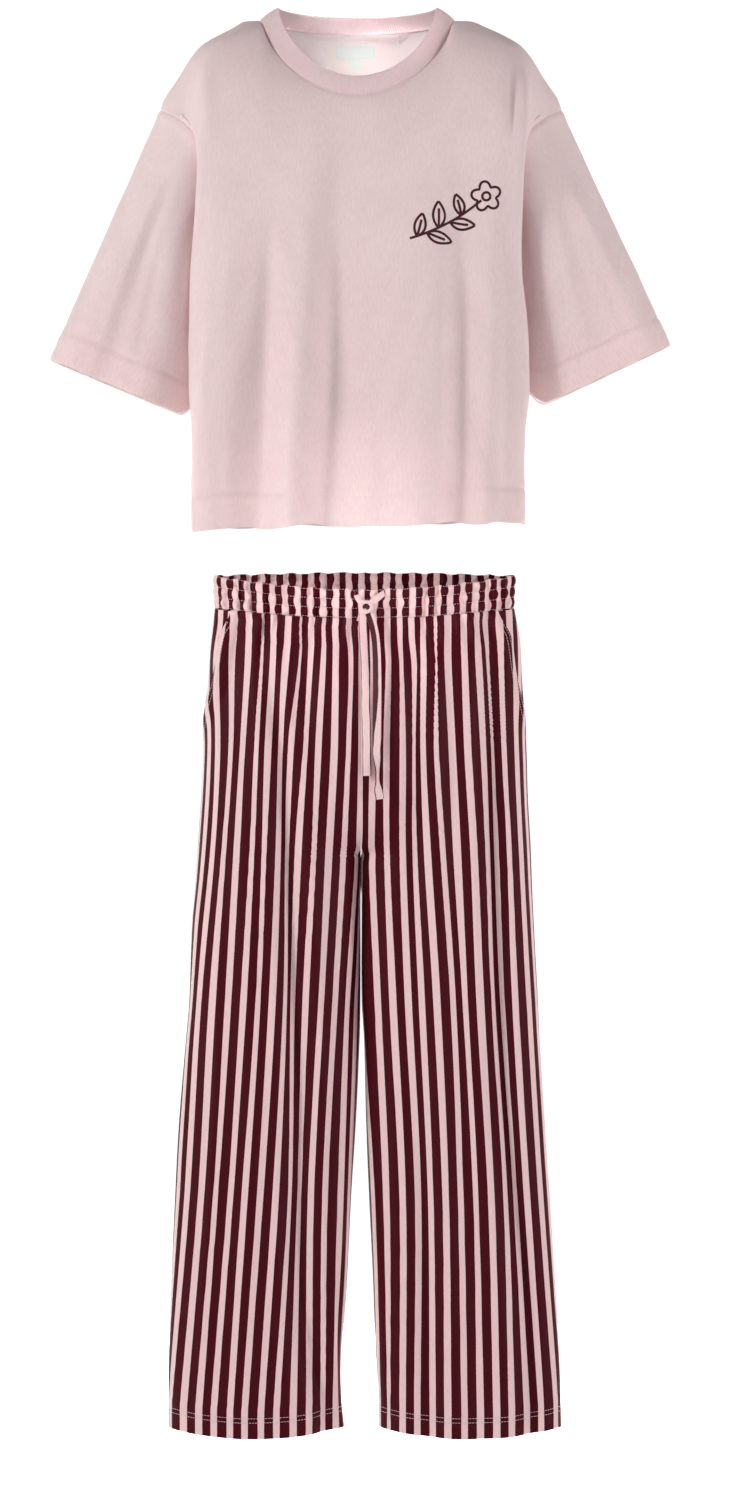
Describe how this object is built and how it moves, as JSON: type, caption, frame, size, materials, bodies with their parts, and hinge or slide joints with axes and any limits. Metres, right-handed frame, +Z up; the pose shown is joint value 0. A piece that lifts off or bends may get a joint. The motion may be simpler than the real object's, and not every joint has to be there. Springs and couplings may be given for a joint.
{
  "type": "pyjama set",
  "caption": "Two-piece pyjama set: a drop-shoulder tee with wide half sleeves above wide-leg striped trousers with a gathered elastic waistband and a drawstring.",
  "frame": {"origin": "middle of the tee's shoulder line, at the height of the shoulder seams beside the neck, where the wearer's shoulders hold the set up", "axes": "+Z up along the wearer, -Y to the wearer's front, +X to the wearer's left"},
  "size_m": [0.726, 0.2018, 1.671],
  "materials": {
    "jersey": "matt cotton jersey, blush pink",
    "rib_knit": "fine cotton rib, blush pink",
    "striped_twill": "smooth woven cloth in even burgundy and pink stripes",
    "label_cotton": "off-white woven label, blank",
    "tie_cloth": "flat tie of the striped cloth, pink face and burgundy edges"
  },
  "bodies": {
    "root": {"tee_front": "jersey", "tee_back": "jersey", "sleeve_left": "jersey", "sleeve_right": "jersey", "neckband": "rib_knit", "neck_tape": "jersey", "hanging_loop": "jersey", "neck_label": "label_cotton", "size_tab": "label_cotton", "leg_front_left": "striped_twill", "leg_front_right": "striped_twill", "leg_back_left": "striped_twill", "leg_back_right": "striped_twill", "pocket_facing_left": "striped_twill", "pocket_facing_right": "striped_twill", "waistband_front": "striped_twill", "waistband_back": "striped_twill", "drawstring_knot": "tie_cloth", "drawstring_tail_left": "tie_cloth", "drawstring_tail_right": "tie_cloth"}
  },
  "joints": []
}
